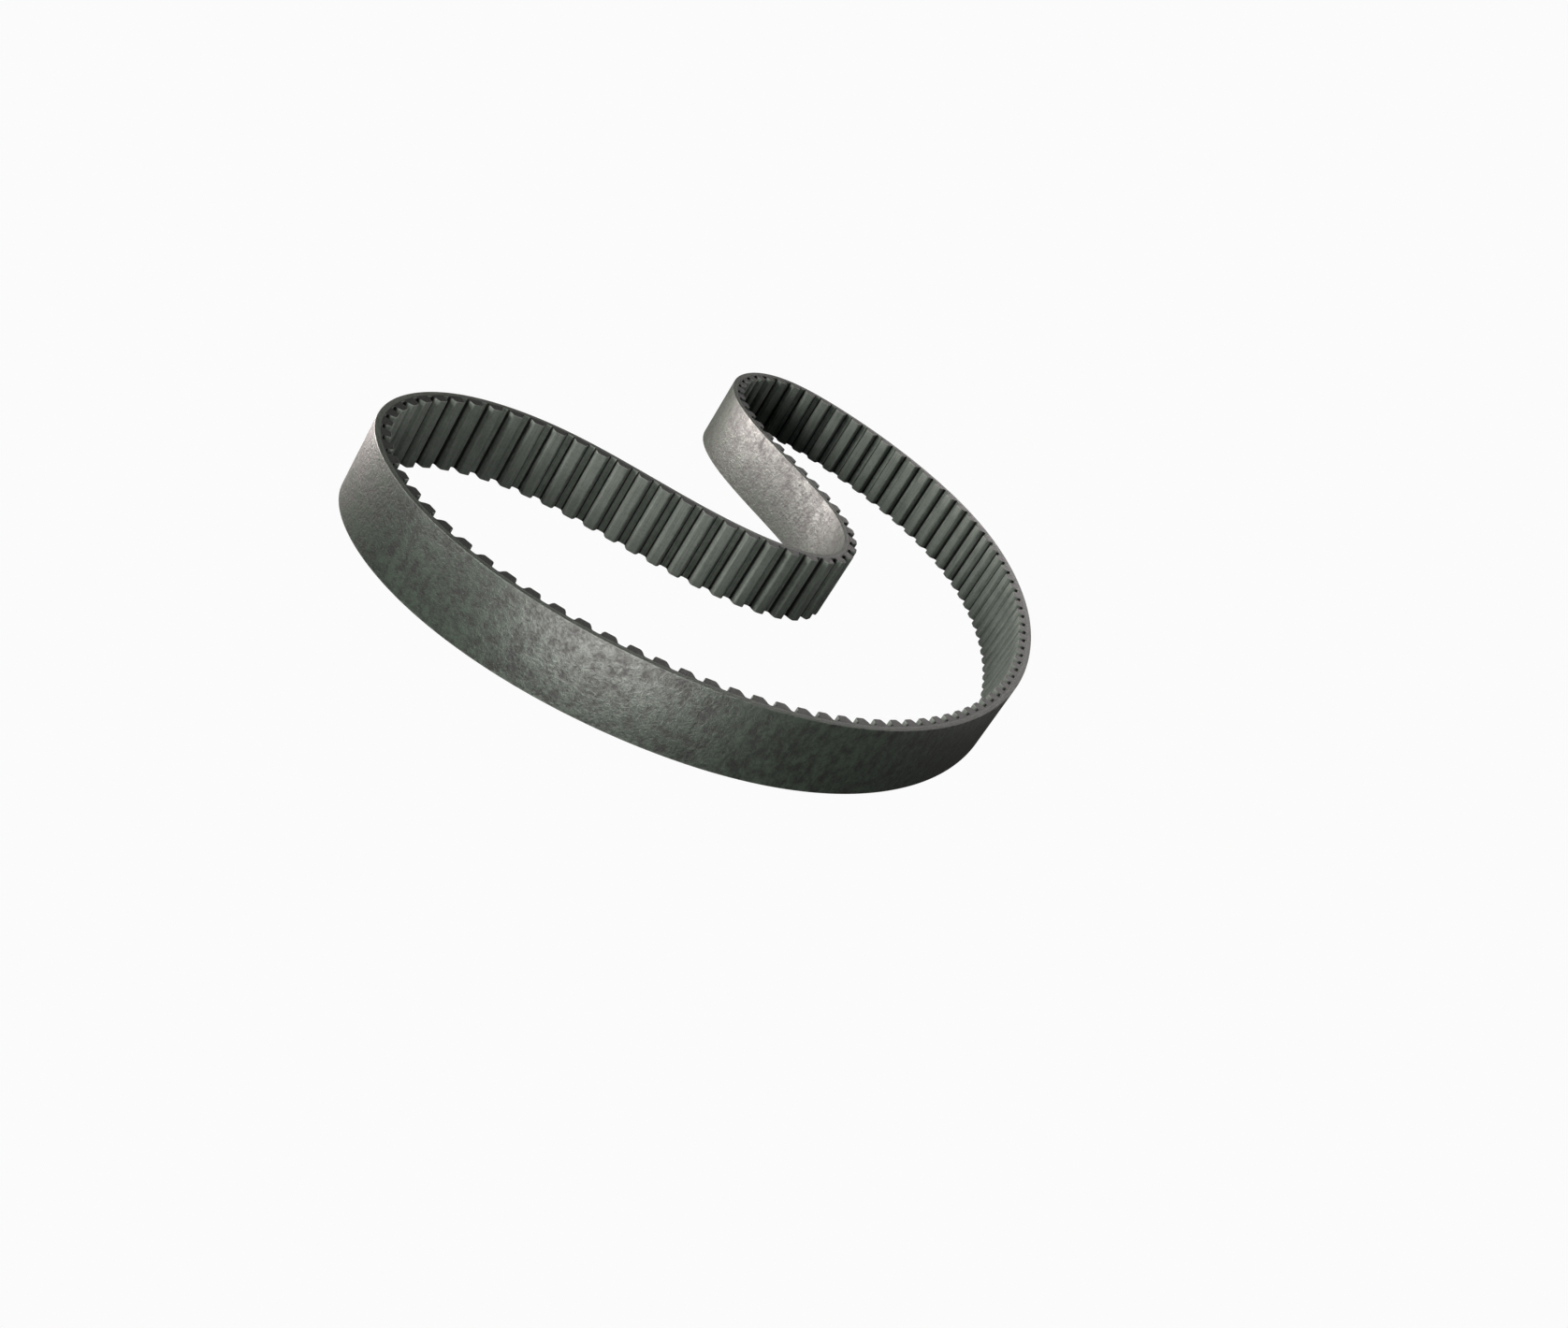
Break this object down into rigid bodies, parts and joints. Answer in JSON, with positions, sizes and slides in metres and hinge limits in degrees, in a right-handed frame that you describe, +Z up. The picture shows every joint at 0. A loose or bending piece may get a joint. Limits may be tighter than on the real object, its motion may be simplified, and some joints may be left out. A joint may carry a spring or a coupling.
{
  "type": "timing belt",
  "caption": "Endless rubber timing belt with round-flanked teeth on the inside, standing on edge in a loose kidney-shaped loop.",
  "frame": {"origin": "centre of the loop's outline in plan, on the surface the belt stands on", "axes": "+Z up along the belt's width, +Y along the loop's longest extent, from the wide lobe to the narrow one"},
  "size_m": [0.2122, 0.3288, 0.025],
  "materials": {
    "backing": "ground matte rubber",
    "cord": "twisted and dipped glass-fibre yarn",
    "tooth_rubber": "cut matte rubber",
    "facing": "rubber-treated twill-woven nylon"
  },
  "bodies": {
    "root": {"backing": "backing", "tension_cord_s": "cord", "tension_cord_z": "cord", "tooth_rubber": "tooth_rubber", "tooth_facing": "facing"}
  },
  "joints": []
}
